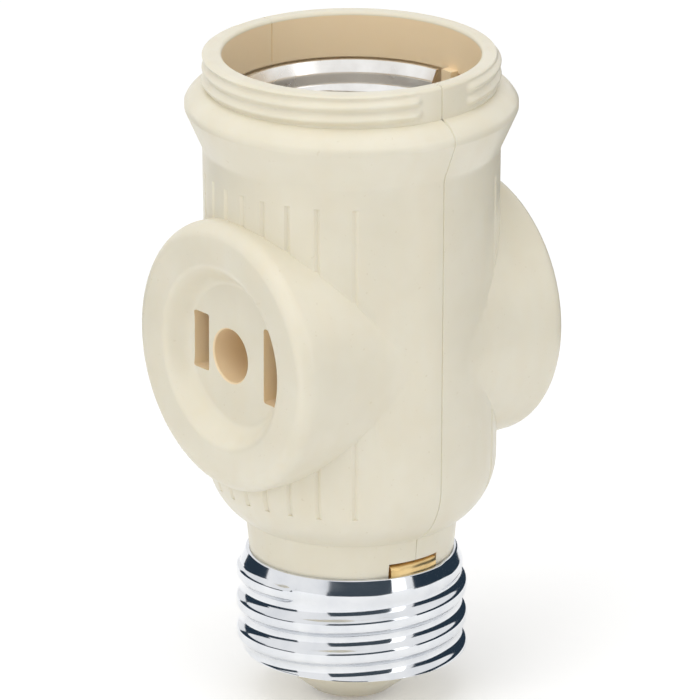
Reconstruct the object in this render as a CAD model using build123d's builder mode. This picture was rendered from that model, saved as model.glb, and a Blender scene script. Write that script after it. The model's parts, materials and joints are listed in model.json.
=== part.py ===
from build123d import *
from math import atan2, cos, hypot, radians, sin, tan, tau
import os

# Keyless lamp holder with a screw base below, a lamp socket above and a two-slot outlet on each side.
# Z runs up the lamp axis, from the base contact to the rim. The outlets face -Y and +Y.
# The moulded housing is two halves that meet on the plane Y = 0. Neutral metalwork is on the +X side
# and line metalwork on the -X side. All sizes are in millimetres.

os.makedirs("parts", exist_ok=True)

# Screw base
contact_head_r = 2.8
contact_head_height = 0.6
contact_shank_r = 1.4
contact_closed_r = 2.1
tip_r = 4.3
tip_height = 5.0
tip_floor = 1.6
base_crest_r = 13.1
base_shell_height = 11.9
base_rim_height = 2.9
thread_pitch = 3.629
thread_depth = 0.8
crest_flat = 1.2
root_flat = 0.7
shell_sheet = 0.35
spigot_clearance = 0.35
spigot_chamfer = 0.9
neck_height = 4.0
neck_flare = 0.4

# Housing
shoulder_height = 7.5
outlet_rise = 14.8
barrel_wall = 2.9
barrel_draft = 0.4
flange_overhang = 2.0
flange_taper_height = 4.5
flange_band = 0.7
flange_crown = 1.8
collar_wall = 1.8
collar_height = 3.9
collar_lip = 0.4
flange_crown_r = 3.2
round_step = 20

# Panel of fine upright grooves on each side
groove_pitch = 3.0
groove_width = 0.4
groove_depth = 0.25
groove_count = 10
groove_top_margin = 2.4
groove_bottom_overrun = 3.2

# Lamp socket
lamp_crest_r = 13.2
lamp_shell_clearance = 0.35
lamp_flange_bore_r = 9.2
socket_depth = 25.9
entry_depth = 5.0
entry_step = 0.7
key_width = 1.7
key_height = 2.4
key_clearance = 1.1

# Outlets
boss_r = 15.6
boss_projection = 1.6
boss_edge_r = 1.7
dish_r = 10.6
dish_floor_r = 8.0
dish_depth = 2.4
dish_slope = 1.6
slot_spacing = 12.7
slot_width = 2.65
line_slot_height = 6.7
neutral_slot_height = 8.8
slot_corner_r = 0.25

# Contacts, strips and rivets
blade_thickness = 1.5
clip_grip = 0.1
clip_sheet = 0.45
clip_height = 6.5
clip_back = 1.8
clip_end_gap = 0.9
clip_flare = 0.35
clip_flare_length = 1.6
clip_bend_r = 0.6
strip_sheet = 0.5
strip_width = 6.4
strip_bend_r = 1.0
arm_end_margin = 0.4
arm_height = 4.8
arm_drop = 6.4
clip_rivet_spacing = 12.0
tail_width = 4.8
rivet_shank_r = 0.8
rivet_head_r = 1.4
rivet_head_height = 0.5
rivet_slack = 0.03
pocket_clearance = 0.4
pocket_headroom = 0.5
pocket_wall = 2.5
floor_web = 1.7
tongue_sheet = 0.4
tongue_width = 5.0
tongue_lift = 1.6
tongue_half_length = 4.5
tongue_crest_share = 0.6
tongue_rivet_offset = 2.8
line_drop_gap = 0.3
line_foot_length = 2.4
bridge_height = 1.0
tab_sheet = 0.4
tab_tuck = 2.6
tab_shell_clearance = 0.05

# Rivet through both halves
body_rivet_shank_r = 1.7
body_rivet_head_r = 2.7
body_rivet_head_height = 1.2
body_rivet_grip = 18.0
access_r = 3.1
body_rivet_clearance = 0.15
body_rivet_x = -1.1
body_rivet_drop = 0.5

# Levels up the axis
tip_z = contact_head_height
shell_bottom_z = tip_z + tip_height
shell_top_z = shell_bottom_z + base_shell_height
neck_top_z = shell_top_z + neck_height
barrel_bottom_z = neck_top_z + shoulder_height
outlet_z = barrel_bottom_z + outlet_rise
pocket_top_z = outlet_z + neutral_slot_height / 2 + pocket_headroom
floor_z = pocket_top_z + floor_web
rim_z = floor_z + socket_depth
lamp_shell_top_z = rim_z - entry_depth
collar_base_z = rim_z - collar_height
flange_top_z = collar_base_z - flange_crown
flange_low_z = flange_top_z - flange_band
barrel_top_z = flange_low_z - flange_taper_height
arm_z = outlet_z - arm_drop
pocket_bottom_z = arm_z - arm_height / 2 - pocket_clearance
bridge_z = shell_top_z + bridge_height
body_rivet_z = outlet_z - body_rivet_drop

# Radii and distances from the axis
base_root_r = base_crest_r - thread_depth
spigot_r = base_root_r - shell_sheet - spigot_clearance
neck_top_r = spigot_r + neck_flare
lamp_shell_r = lamp_crest_r + shell_sheet
socket_r = lamp_shell_r + lamp_shell_clearance
entry_r = socket_r + entry_step
barrel_top_r = socket_r + barrel_wall
barrel_bottom_r = barrel_top_r - barrel_draft
flange_r = barrel_top_r + flange_overhang
collar_r = entry_r + collar_wall
boss_face_y = barrel_top_r + boss_projection
dish_floor_y = boss_face_y - dish_depth
blade_x = slot_spacing / 2
clip_gap = blade_thickness - clip_grip
strip_inner_x = blade_x + clip_gap / 2 + clip_sheet
strip_x = strip_inner_x + strip_sheet / 2
strip_outer_x = strip_inner_x + strip_sheet
pocket_inner_x = blade_x - clip_gap / 2 - clip_sheet - clip_flare - pocket_clearance / 2
pocket_outer_x = strip_outer_x + rivet_head_height + pocket_clearance
pocket_end_y = dish_floor_y - pocket_wall
clip_reach = pocket_end_y - clip_end_gap
arm_half_length = (clip_rivet_spacing + tail_width) / 2 + arm_end_margin
line_drop_offset = contact_closed_r + strip_bend_r + line_drop_gap
strip_level_z = floor_z - strip_sheet / 2
tab_outer_r = base_root_r - shell_sheet - tab_shell_clearance
tab_inner_r = tab_outer_r - tab_sheet
foot_z = tip_z + tip_floor + strip_sheet / 2
head_seat_y = body_rivet_grip / 2
rivet_hole_r = rivet_shank_r + rivet_slack


# The thread ridge is a trapezium. Its inner face is set in, so that the rolled sheet keeps its thickness.
ridge_foot = thread_pitch - root_flat
ridge_flank_angle = atan2(thread_depth, (ridge_foot - crest_flat) / 2)
ridge_inset = shell_sheet * tan(ridge_flank_angle / 2)


def threaded_core(root_r, bottom_z, height, inset, thread_start_z, turns):
    """A plug of the root radius with a right-hand thread ridge round it, each flank moved in by inset."""
    half_foot = ridge_foot / 2 - inset
    half_flat = crest_flat / 2 - inset
    rooted_r = root_r - thread_depth / 2
    crest_r = root_r + thread_depth
    with BuildPart() as core:
        with BuildSketch(Plane.XY.offset(bottom_z)):
            Circle(root_r)
        extrude(amount=height)
        with BuildLine() as lead:
            Helix(thread_pitch, turns * thread_pitch, root_r, center=(0, 0, thread_start_z))
        with BuildSketch(Plane.XZ):
            with BuildLine():
                Polyline(
                    (rooted_r, thread_start_z - half_foot),
                    (root_r, thread_start_z - half_foot),
                    (crest_r, thread_start_z - half_flat),
                    (crest_r, thread_start_z + half_flat),
                    (root_r, thread_start_z + half_foot),
                    (rooted_r, thread_start_z + half_foot),
                    close=True,
                )
            make_face()
        sweep(path=lead.wire(), is_frenet=True)
    return core.part


def rivet(plane, grip, head_r, closed_r, shank_r, head_height):
    """A rivet along the plane's normal, its made head on the plane and its closed head past the grip."""
    with BuildPart() as made:
        with BuildSketch(plane):
            Circle(shank_r)
        extrude(amount=-grip)
        with BuildSketch(plane):
            Circle(head_r)
        extrude(amount=head_height)
        with BuildSketch(plane.offset(-grip)):
            Circle(closed_r)
        extrude(amount=-head_height)
    return made.part


def small_rivet(plane, grip):
    """One of the six rivets that join the sheet metal pieces."""
    return rivet(plane, grip, rivet_head_r, rivet_head_r, rivet_shank_r, rivet_head_height)


def rounded(start, end, r):
    """Points of a convex round of radius r from start to end, a point every few degrees."""
    half = hypot(end[0] - start[0], end[1] - start[1]) / 2
    along = ((end[0] - start[0]) / (2 * half), (end[1] - start[1]) / (2 * half))
    rise = (r * r - half * half) ** 0.5
    centre = (
        (start[0] + end[0]) / 2 - along[1] * rise,
        (start[1] + end[1]) / 2 + along[0] * rise,
    )
    first = atan2(start[1] - centre[1], start[0] - centre[0])
    turn = 2 * atan2(half, rise)
    steps = max(2, round(turn / radians(round_step)))
    return [
        (centre[0] + r * cos(first + turn * i / steps), centre[1] + r * sin(first + turn * i / steps))
        for i in range(steps + 1)
    ]


# The shoulder's round is tangent to the barrel and meets the neck at a corner.
shoulder_in = barrel_bottom_r - neck_top_r
shoulder_r = (shoulder_in**2 + shoulder_height**2) / (2 * shoulder_in)


def shoulder_and_barrel(depth):
    """Outline of the shoulder and barrel, from neck to flange, at a depth below their surface."""
    return rounded(
        (neck_top_r - depth, neck_top_z), (barrel_bottom_r - depth, barrel_bottom_z), shoulder_r
    ) + [(barrel_top_r - depth, barrel_top_z)]


# Both housing halves as one body, before its hollows and before it is parted.
with BuildPart() as housing:
    with BuildSketch(Plane.XZ):
        with BuildLine():
            Polyline(
                (0, tip_z),
                (tip_r, tip_z),
                (spigot_r - spigot_chamfer, shell_bottom_z),
                (spigot_r, shell_bottom_z + spigot_chamfer),
                (spigot_r, shell_top_z),
                *shoulder_and_barrel(0),
                (flange_r, flange_low_z),
                *rounded((flange_r, flange_top_z), (collar_r, collar_base_z), flange_crown_r),
                (collar_r, rim_z - collar_lip),
                (collar_r - collar_lip, rim_z),
                (0, rim_z),
                close=True,
            )
        make_face()
    revolve(axis=Axis.Z)

# Upright grooves, cut to one depth below the surface of the barrel and the upper shoulder.
groove_low_z = barrel_bottom_z - groove_bottom_overrun
groove_high_z = barrel_top_z - groove_top_margin
with BuildPart() as grooves:
    with BuildSketch(Plane.XZ):
        first_groove_x = (1 - groove_count) * groove_pitch / 2
        for index in range(groove_count):
            with Locations((first_groove_x + index * groove_pitch, (groove_low_z + groove_high_z) / 2)):
                Rectangle(groove_width, groove_high_z - groove_low_z)
    extrude(amount=barrel_top_r, both=True)
    with BuildSketch(Plane.XZ):
        with BuildLine():
            Polyline((0, neck_top_z), *shoulder_and_barrel(groove_depth), (0, barrel_top_z), close=True)
        make_face()
    revolve(axis=Axis.Z, mode=Mode.SUBTRACT)


def neutral_route(lift):
    """Edge view of the neutral strip in the XZ plane, from its tab to its fold under the lamp shell."""
    return [
        (tab_inner_r + tab_sheet / 2, bridge_z),
        (strip_x, bridge_z),
        (strip_x, strip_level_z + lift),
        (socket_r - rivet_head_r, strip_level_z + lift),
    ]


def line_route(lift):
    """Edge view of the line strip in the XZ plane, from its foot to its fold under the lamp contact."""
    return [
        (line_foot_length, foot_z + lift),
        (-line_drop_offset, foot_z + lift),
        (-line_drop_offset, neck_top_z + strip_width / 2),
        (-strip_x, barrel_bottom_z + strip_width / 2),
        (-strip_x, strip_level_z + lift),
        (rivet_head_r - tongue_rivet_offset, strip_level_z + lift),
    ]


def strip_run(route, sheet, width):
    """A bent run of sheet that follows a route in the XZ plane, or the channel that clears it."""
    with BuildPart() as run:
        with BuildSketch(Plane.XZ):
            with BuildLine():
                FilletPolyline(*route, radius=strip_bend_r)
            trace(line_width=sheet)
        extrude(amount=width / 2, both=True)
    return run.part


channel_sheet = strip_sheet + 2 * pocket_clearance
channel_width = strip_width + pocket_clearance
neutral_rivet_x = (lamp_flange_bore_r + lamp_crest_r) / 2

# The hollows that the two halves share.
with BuildPart() as hollows:
    with BuildSketch(Plane.XY.offset(floor_z)):
        Circle(socket_r)
    extrude(amount=lamp_shell_top_z - floor_z)
    with BuildSketch(Plane.XY.offset(lamp_shell_top_z)):
        Circle(entry_r)
    extrude(amount=2 * entry_depth)
    with BuildSketch(Plane.XY.offset(lamp_shell_top_z)):
        with Locations((0, socket_r), (0, -socket_r)):
            Rectangle(key_width, 2 * (lamp_shell_clearance + shell_sheet))
    extrude(amount=-key_height, mode=Mode.SUBTRACT)
    for side in (-1, 1):
        with BuildSketch(Plane.XY.offset(pocket_bottom_z)):
            with Locations((side * (pocket_inner_x + pocket_outer_x) / 2, 0)):
                Rectangle(pocket_outer_x - pocket_inner_x, 2 * pocket_end_y)
        extrude(amount=pocket_top_z - pocket_bottom_z)
        with BuildSketch(Plane.XY.offset(floor_z)):
            rivet_x = neutral_rivet_x if side > 0 else -tongue_rivet_offset
            with Locations((rivet_x, 0)):
                Circle(rivet_head_r + pocket_clearance / 2)
        extrude(amount=-(strip_sheet + rivet_head_height + pocket_clearance / 2))
    add(strip_run(neutral_route(pocket_clearance), channel_sheet, channel_width))
    add(strip_run(line_route(pocket_clearance), channel_sheet, channel_width))
    with BuildSketch(Plane.XY.offset(tip_z + tip_floor)):
        Circle(contact_head_r)
    extrude(amount=strip_sheet + 2 * rivet_head_height)
    with BuildSketch(Plane.XY):
        Circle(contact_shank_r + rivet_slack)
    extrude(amount=tip_z + tip_floor)

# The housing with its grooves, outlet bosses, dishes, slots and hollows, before it is parted.
outlet_axis = Axis((0, 0, outlet_z), (0, 1, 0))
with BuildPart() as whole_housing:
    add(housing.part)
    add(grooves.part, mode=Mode.SUBTRACT)
    with BuildSketch(Plane.YZ):
        with BuildLine():
            Polyline(
                (0, outlet_z),
                (boss_face_y, outlet_z),
                *rounded(
                    (boss_face_y, outlet_z + boss_r - boss_edge_r),
                    (boss_face_y - boss_edge_r, outlet_z + boss_r),
                    boss_edge_r,
                ),
                (0, outlet_z + boss_r),
                close=True,
            )
        make_face()
        mirror(about=Plane.YZ)
    revolve(axis=outlet_axis)
    with BuildSketch(Plane.YZ):
        with BuildLine():
            Polyline(
                (dish_floor_y, outlet_z),
                (dish_floor_y, outlet_z + dish_floor_r),
                (boss_face_y - dish_depth / 2, outlet_z + dish_floor_r + dish_slope),
                (boss_face_y, outlet_z + dish_r),
                (boss_face_y, outlet_z),
                close=True,
            )
        make_face()
        mirror(about=Plane.YZ)
    revolve(axis=outlet_axis, mode=Mode.SUBTRACT)
    add(hollows.part, mode=Mode.SUBTRACT)
    with BuildSketch(Plane.XZ) as slots:
        with Locations((-blade_x, outlet_z)):
            Rectangle(slot_width, line_slot_height)
        with Locations((blade_x, outlet_z)):
            Rectangle(slot_width, neutral_slot_height)
        fillet(slots.vertices(), slot_corner_r)
        with Locations((body_rivet_x, body_rivet_z)):
            Circle(body_rivet_shank_r + body_rivet_clearance)
    extrude(amount=boss_face_y, both=True, mode=Mode.SUBTRACT)
    for side in (-1, 1):
        with BuildSketch(Plane((body_rivet_x, side * head_seat_y, body_rivet_z), z_dir=(0, side, 0))):
            Circle(access_r)
        extrude(amount=boss_face_y - head_seat_y, mode=Mode.SUBTRACT)
    with BuildSketch(Plane.XY.offset(shell_top_z - tab_tuck - pocket_clearance)):
        with Locations((spigot_r, 0)):
            Rectangle(spigot_r / 2, channel_width)
        Circle(tab_inner_r - tab_shell_clearance, mode=Mode.SUBTRACT)
    extrude(amount=tab_tuck + bridge_height + strip_sheet + pocket_clearance, mode=Mode.SUBTRACT)

with BuildPart() as body_half_front:
    add(whole_housing.part)
    split(bisect_by=Plane.XZ, keep=Keep.TOP)
body_half_front.part.label = "body_half_front"

with BuildPart() as body_half_rear:
    add(whole_housing.part)
    split(bisect_by=Plane.XZ, keep=Keep.BOTTOM)
body_half_rear.part.label = "body_half_rear"

# The base shell is one rolled sheet, so its inner face follows the thread as well. The inner thread starts
# one turn lower and stops one sheet's thickness short, so that the sheet closes the end of the ridge.
base_turns = (base_shell_height - base_rim_height - ridge_foot / 2 + thread_pitch) / thread_pitch
base_start_z = shell_bottom_z - thread_pitch
end_wall_turns = shell_sheet / (tau * base_root_r)
with BuildPart() as base_screw_shell:
    add(threaded_core(base_root_r, shell_bottom_z, base_shell_height, 0, base_start_z, base_turns))
    add(
        threaded_core(
            base_root_r - shell_sheet,
            shell_bottom_z,
            base_shell_height,
            ridge_inset,
            base_start_z - thread_pitch,
            base_turns + 1 - end_wall_turns,
        ),
        mode=Mode.SUBTRACT,
    )
    with BuildSketch(Plane.XY.offset(shell_bottom_z)):
        Circle(base_crest_r + thread_depth)
    extrude(amount=-3 * thread_pitch, mode=Mode.SUBTRACT)
base_screw_shell.part.label = "base_screw_shell"

# The lamp shell is a drawn cup: a floor flange and a wall at the crest radius of its thread.
with BuildPart() as lamp_screw_shell:
    with BuildSketch(Plane.XY.offset(floor_z)):
        Circle(lamp_shell_r)
    extrude(amount=lamp_shell_top_z - floor_z)
    with BuildSketch(Plane.XY.offset(floor_z + shell_sheet)):
        Circle(lamp_crest_r)
    extrude(amount=lamp_shell_top_z - floor_z, mode=Mode.SUBTRACT)
    with BuildSketch(Plane.XY.offset(floor_z)):
        Circle(lamp_flange_bore_r)
        with Locations((neutral_rivet_x, 0)):
            Circle(rivet_hole_r)
    extrude(amount=shell_sheet, mode=Mode.SUBTRACT)
    with BuildSketch(Plane.XY.offset(lamp_shell_top_z)):
        Rectangle(key_width + 2 * key_clearance, 2 * socket_r)
    extrude(amount=-(key_height + key_clearance), mode=Mode.SUBTRACT)
lamp_screw_shell.part.label = "lamp_screw_shell"

# The neutral strip ends below in a tab that folds down outside the neck, inside the base shell's rim.
with BuildPart() as neutral_strip:
    add(strip_run(neutral_route(0), strip_sheet, strip_width))
    with BuildSketch(Plane.YZ.offset(strip_inner_x)):
        with Locations((0, arm_z)):
            Rectangle(2 * arm_half_length, arm_height)
    extrude(amount=strip_sheet)
    with BuildSketch(Plane.XY.offset(shell_top_z - tab_tuck)):
        with Locations((spigot_r, 0)):
            Rectangle(spigot_r / 2, strip_width)
        Circle(tab_outer_r, mode=Mode.INTERSECT)
        Circle(tab_inner_r, mode=Mode.SUBTRACT)
    extrude(amount=tab_tuck + bridge_height + strip_sheet / 2)
    with BuildSketch(Plane.YZ):
        with Locations((-clip_rivet_spacing / 2, arm_z), (clip_rivet_spacing / 2, arm_z)):
            Circle(rivet_hole_r)
    extrude(amount=strip_outer_x + strip_sheet, mode=Mode.SUBTRACT)
    with BuildSketch(Plane.XY.offset(floor_z)):
        with Locations((neutral_rivet_x, 0)):
            Circle(rivet_hole_r)
    extrude(amount=-strip_sheet, mode=Mode.SUBTRACT)
neutral_strip.part.label = "neutral_strip"

# The line strip climbs from the base contact, steps out to its side and folds in under the lamp contact.
with BuildPart() as line_strip:
    add(strip_run(line_route(0), strip_sheet, strip_width))
    with BuildSketch(Plane.YZ.offset(-strip_outer_x)):
        with Locations((0, arm_z)):
            Rectangle(2 * arm_half_length, arm_height)
    extrude(amount=strip_sheet)
    with BuildSketch(Plane.YZ):
        with Locations((-clip_rivet_spacing / 2, arm_z), (clip_rivet_spacing / 2, arm_z)):
            Circle(rivet_hole_r)
    extrude(amount=-(strip_outer_x + strip_sheet), mode=Mode.SUBTRACT)
    with BuildSketch(Plane.XY.offset(floor_z)):
        with Locations((-tongue_rivet_offset, 0)):
            Circle(rivet_hole_r)
    extrude(amount=-strip_sheet, mode=Mode.SUBTRACT)
    with BuildSketch(Plane.XY.offset(tip_z + tip_floor)):
        Circle(contact_shank_r + rivet_slack)
    extrude(amount=strip_sheet, mode=Mode.SUBTRACT)
line_strip.part.label = "line_strip"

# The lamp's centre contact is a sprung tongue: a flat root, a rise to the lamp and a turned-down nose.
tongue_level_z = floor_z + tongue_sheet / 2
with BuildPart() as lamp_centre_contact:
    with BuildSketch(Plane.XZ):
        with BuildLine():
            FilletPolyline(
                (-tongue_rivet_offset - rivet_head_r - tongue_sheet, tongue_level_z),
                (-tongue_rivet_offset + rivet_head_r + tongue_sheet, tongue_level_z),
                (tongue_half_length * tongue_crest_share, tongue_level_z + tongue_lift),
                (tongue_half_length, tongue_level_z + tongue_lift * tongue_crest_share),
                radius=strip_bend_r,
            )
        trace(line_width=tongue_sheet)
    extrude(amount=tongue_width / 2, both=True)
    with BuildSketch(Plane.XY.offset(floor_z)):
        with Locations((-tongue_rivet_offset, 0)):
            Circle(rivet_hole_r)
    extrude(amount=tongue_sheet, mode=Mode.SUBTRACT)
lamp_centre_contact.part.label = "lamp_centre_contact"

# Each blade clip is a folded U with flared mouths. A tail on its outer leaf is riveted to the strip's arm.
leaf_offset = (clip_gap + clip_sheet) / 2
tail_low_z = arm_z - arm_height / 2
tail_high_z = outlet_z - clip_height / 2 + clip_sheet
with BuildPart() as blade_clip:
    with BuildSketch(Plane.XY.offset(outlet_z)):
        with BuildLine():
            FilletPolyline(
                (blade_x + leaf_offset + clip_flare, -clip_reach),
                (blade_x + leaf_offset, -clip_reach + clip_flare_length),
                (blade_x + leaf_offset, -clip_back),
                (blade_x - leaf_offset, -clip_back),
                (blade_x - leaf_offset, -clip_reach + clip_flare_length),
                (blade_x - leaf_offset - clip_flare, -clip_reach),
                radius=clip_bend_r,
            )
        trace(line_width=clip_sheet)
    extrude(amount=clip_height / 2, both=True)
    with BuildSketch(Plane.YZ.offset(strip_inner_x - clip_sheet)) as tail:
        with Locations((-clip_rivet_spacing / 2, (tail_low_z + tail_high_z) / 2)):
            Rectangle(tail_width, tail_high_z - tail_low_z)
        with Locations((-clip_rivet_spacing / 2, arm_z)):
            Circle(rivet_hole_r, mode=Mode.SUBTRACT)
    extrude(amount=clip_sheet)

clip_rivet_plane = Plane(
    (strip_inner_x - clip_sheet, -clip_rivet_spacing / 2, arm_z), x_dir=(0, 1, 0), z_dir=(-1, 0, 0)
)
clip_rivet = small_rivet(clip_rivet_plane, clip_sheet + strip_sheet)

# The same clip and rivet serve both outlets on both sides of the axis.
clip_sides = {
    "front_neutral": [],
    "front_line": [Plane.YZ],
    "rear_neutral": [Plane.XZ],
    "rear_line": [Plane.YZ, Plane.XZ],
}
clip_parts = []
for side_name, mirrors in clip_sides.items():
    for piece_name, piece in (("clip", blade_clip.part), ("clip_rivet", clip_rivet)):
        for about in mirrors:
            piece = piece.mirror(about)
        with BuildPart() as placed:
            add(piece)
        placed.part.label = f"{side_name}_{piece_name}"
        clip_parts.append(placed.part)

with BuildPart() as lamp_contact_rivet:
    seat_plane = Plane((-tongue_rivet_offset, 0, floor_z + tongue_sheet))
    add(small_rivet(seat_plane, tongue_sheet + strip_sheet))
lamp_contact_rivet.part.label = "lamp_contact_rivet"

with BuildPart() as lamp_shell_rivet:
    seat_plane = Plane((neutral_rivet_x, 0, floor_z + shell_sheet))
    add(small_rivet(seat_plane, shell_sheet + strip_sheet))
lamp_shell_rivet.part.label = "lamp_shell_rivet"

with BuildPart() as body_rivet:
    seat_plane = Plane((body_rivet_x, -head_seat_y, body_rivet_z), z_dir=(0, -1, 0))
    add(
        rivet(
            seat_plane,
            body_rivet_grip,
            body_rivet_head_r,
            body_rivet_head_r,
            body_rivet_shank_r,
            body_rivet_head_height,
        )
    )
    head_ends = body_rivet.faces().sort_by(Axis.Y)
    chamfer(head_ends[0].edges() + head_ends[-1].edges(), body_rivet_head_height / 2)
body_rivet.part.label = "body_rivet"

with BuildPart() as base_contact:
    seat_plane = Plane((0, 0, tip_z), z_dir=(0, 0, -1))
    add(
        rivet(
            seat_plane,
            tip_floor + strip_sheet,
            contact_head_r,
            contact_closed_r,
            contact_shank_r,
            contact_head_height,
        )
    )
    chamfer(base_contact.faces().sort_by(Axis.Z)[0].edges(), contact_head_height / 2)
base_contact.part.label = "base_contact"

single_parts = [
    body_half_front.part,
    body_half_rear.part,
    base_screw_shell.part,
    lamp_screw_shell.part,
    neutral_strip.part,
    line_strip.part,
    lamp_centre_contact.part,
    lamp_contact_rivet.part,
    lamp_shell_rivet.part,
    body_rivet.part,
    base_contact.part,
]
for piece in single_parts + clip_parts:
    export_step(piece, f"parts/{piece.label}.step")
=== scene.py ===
# %% [markdown]
# A keyless lamp holder with a screw base below, a lamp socket above and a plug outlet on each side.
# The housing is moulded in two ivory halves. The two screw shells are thin rolled metal.
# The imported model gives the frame: where each piece is, and how large. This script builds the looks
# round it.

# %% Load the frame
import json
from math import asin, atan2, cos, degrees, hypot, pi, radians, sin, sqrt, tau

import bmesh
import bpy
from mathutils import Matrix, Vector


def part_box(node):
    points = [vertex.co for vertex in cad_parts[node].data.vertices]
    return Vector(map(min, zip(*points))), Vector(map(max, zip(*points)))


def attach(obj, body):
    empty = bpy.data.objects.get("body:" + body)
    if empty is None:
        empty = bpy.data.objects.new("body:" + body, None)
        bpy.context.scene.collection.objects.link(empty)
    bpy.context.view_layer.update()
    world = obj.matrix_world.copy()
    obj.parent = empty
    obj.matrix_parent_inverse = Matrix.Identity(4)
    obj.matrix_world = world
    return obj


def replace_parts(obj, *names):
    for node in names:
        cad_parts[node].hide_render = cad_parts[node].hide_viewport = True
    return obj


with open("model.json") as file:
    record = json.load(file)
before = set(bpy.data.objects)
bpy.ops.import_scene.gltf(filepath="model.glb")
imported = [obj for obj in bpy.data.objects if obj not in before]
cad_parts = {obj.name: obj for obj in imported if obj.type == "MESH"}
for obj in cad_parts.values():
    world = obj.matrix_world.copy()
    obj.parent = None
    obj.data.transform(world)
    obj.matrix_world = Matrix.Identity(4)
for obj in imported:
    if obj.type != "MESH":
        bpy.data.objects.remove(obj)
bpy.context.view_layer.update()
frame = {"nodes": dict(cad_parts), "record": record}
print("nodes:", len(frame["nodes"]))

# %% [markdown]
# Lengths are easier to read in millimetres, so each one is written as a number times mm.
# Sizes that the frame knows are read from the boxes of its nodes, so that every piece stays where it is.

# %% Sizes from the frame
mm = 0.001
body_low, body_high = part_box("body_half_front")
base_low, base_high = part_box("base_screw_shell")
lamp_low, lamp_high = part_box("lamp_screw_shell")
tip_z = body_low.z
rim_z = body_high.z
flange_r = body_high.x
boss_face_y = -body_low.y
base_crest_r = base_high.x
shell_low_z = base_low.z
shell_top_z = base_high.z
floor_z = lamp_low.z
lamp_top_z = lamp_high.z
lamp_shell_r = lamp_high.x
print("rim at", round(rim_z / mm, 2), "mm, flange radius", round(flange_r / mm, 2), "mm")

# %% [markdown]
# A moulded housing is mostly a turned shape, so its sizes are radii and levels on the lamp axis.
# They are the sizes of the real part, counted from the levels that the frame gave.

# %% Sizes of the housing
tip_r = 4.3 * mm
spigot_r = 11.6 * mm
neck_top_r = 12.0 * mm
neck_top_z = shell_top_z + 4.0 * mm
tip_edge_r = 0.8 * mm
spigot_chamfer = 0.9 * mm
barrel_low_r = 16.4 * mm
barrel_top_r = 16.8 * mm
barrel_steps = 8
barrel_low_z = neck_top_z + 7.5 * mm
collar_r = 16.4 * mm
collar_low_z = rim_z - 3.9 * mm
flange_top_z = collar_low_z - 1.8 * mm
flange_low_z = flange_top_z - 0.7 * mm
flange_foot_r = 2.0 * mm
flange_edge_r = 0.5 * mm
flange_crown_r = 3.2 * mm
barrel_top_z = flange_low_z - 4.5 * mm
entry_r = 14.6 * mm
socket_r = lamp_shell_r + 0.35 * mm
outlet_z = barrel_low_z + 14.8 * mm
boss_r = 15.6 * mm
dish_floor_y = boss_face_y - 2.4 * mm
blade_x = 6.35 * mm
overshoot = 1 * mm
sliver = 0.01 * mm
print("outlet axis at", round(outlet_z / mm, 2), "mm")

# %% [markdown]
# Every solid here starts as points and faces worked out by a formula, which gives clean edges at any size.
# One helper makes the mesh, and one turns an outline round the axis as a lathe would.
# A shape function may move each point on its way round: that is how a thread is put on a turned form.

# %% Helpers that make meshes
turn_steps = 360


def new_piece(name, points, faces):
    """Make an object from points and faces, with every face turned outward."""
    mesh = bpy.data.meshes.new(name)
    mesh.from_pydata(points, [], faces)
    form = bmesh.new()
    form.from_mesh(mesh)
    bmesh.ops.recalc_face_normals(form, faces=form.faces)
    form.to_mesh(mesh)
    form.free()
    piece = bpy.data.objects.new(name, mesh)
    bpy.context.scene.collection.objects.link(piece)
    return piece


def turn(name, outline, shape=None, steps=turn_steps):
    """Turn a closed outline of (radius, height) points round the Z axis."""
    points = []
    rings = []
    for radius, height in outline:
        if radius == 0:
            rings.append([len(points)] * steps)
            points.append((0, 0, height))
            continue
        ring = []
        for step in range(steps):
            angle = tau * step / steps
            r = shape(radius, height, angle) if shape else radius
            ring.append(len(points))
            points.append((r * cos(angle), r * sin(angle), height))
        rings.append(ring)
    faces = []
    for lower, upper in zip(rings, rings[1:] + rings[:1]):
        for step in range(steps):
            after = (step + 1) % steps
            corners = list(dict.fromkeys([lower[step], lower[after], upper[after], upper[step]]))
            if len(corners) > 2:
                faces.append(corners)
    return new_piece(name, points, faces)


def rounded(start, end, r, hollow=False, step=6):
    """Points of a round of radius r between two outline points, bulging out, or in if it is hollow."""
    half = hypot(end[0] - start[0], end[1] - start[1]) / 2
    side = -1 if hollow else 1
    along = ((end[0] - start[0]) / (2 * half), (end[1] - start[1]) / (2 * half))
    rise = sqrt(r * r - half * half) * side
    centre = ((start[0] + end[0]) / 2 - along[1] * rise, (start[1] + end[1]) / 2 + along[0] * rise)
    first = atan2(start[1] - centre[1], start[0] - centre[0])
    swing = 2 * asin(half / r) * side
    count = max(2, round(degrees(abs(swing)) / step))
    return [
        (centre[0] + r * cos(first + swing * i / count), centre[1] + r * sin(first + swing * i / count))
        for i in range(count + 1)
    ]


def rows(low, high, spacing):
    """Evenly spaced values from low to high, both included."""
    count = max(1, round((high - low) / spacing))
    return [low + (high - low) * i / count for i in range(count + 1)]


def smooth_to(low, high, value):
    """A soft step from 0 at low to 1 at high."""
    share = min(1, max(0, (value - low) / (high - low)))
    return share * share * (3 - 2 * share)


print("one turn has", turn_steps, "steps of", round(tau * barrel_top_r / turn_steps / mm, 2), "mm")

# %% [markdown]
# The shade ring screws on a fine rounded thread round the rim. A moulded thread has to leave its mould,
# so it stops short on both sides of the parting line, where the collar stays plain.

# %% Thread of the shade ring
ring_pitch = 1.5 * mm
ring_thread_depth = 0.45 * mm
ring_first_z = rim_z - 1.24 * mm
ring_run_in = 0.4 * mm
ring_lip_share = 0.4
ring_flat_half = radians(11)
ring_flat_middle = radians(2)
ring_fade = radians(3.5)
ring_row = 0.1 * mm
edge_r = 0.4 * mm


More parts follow.
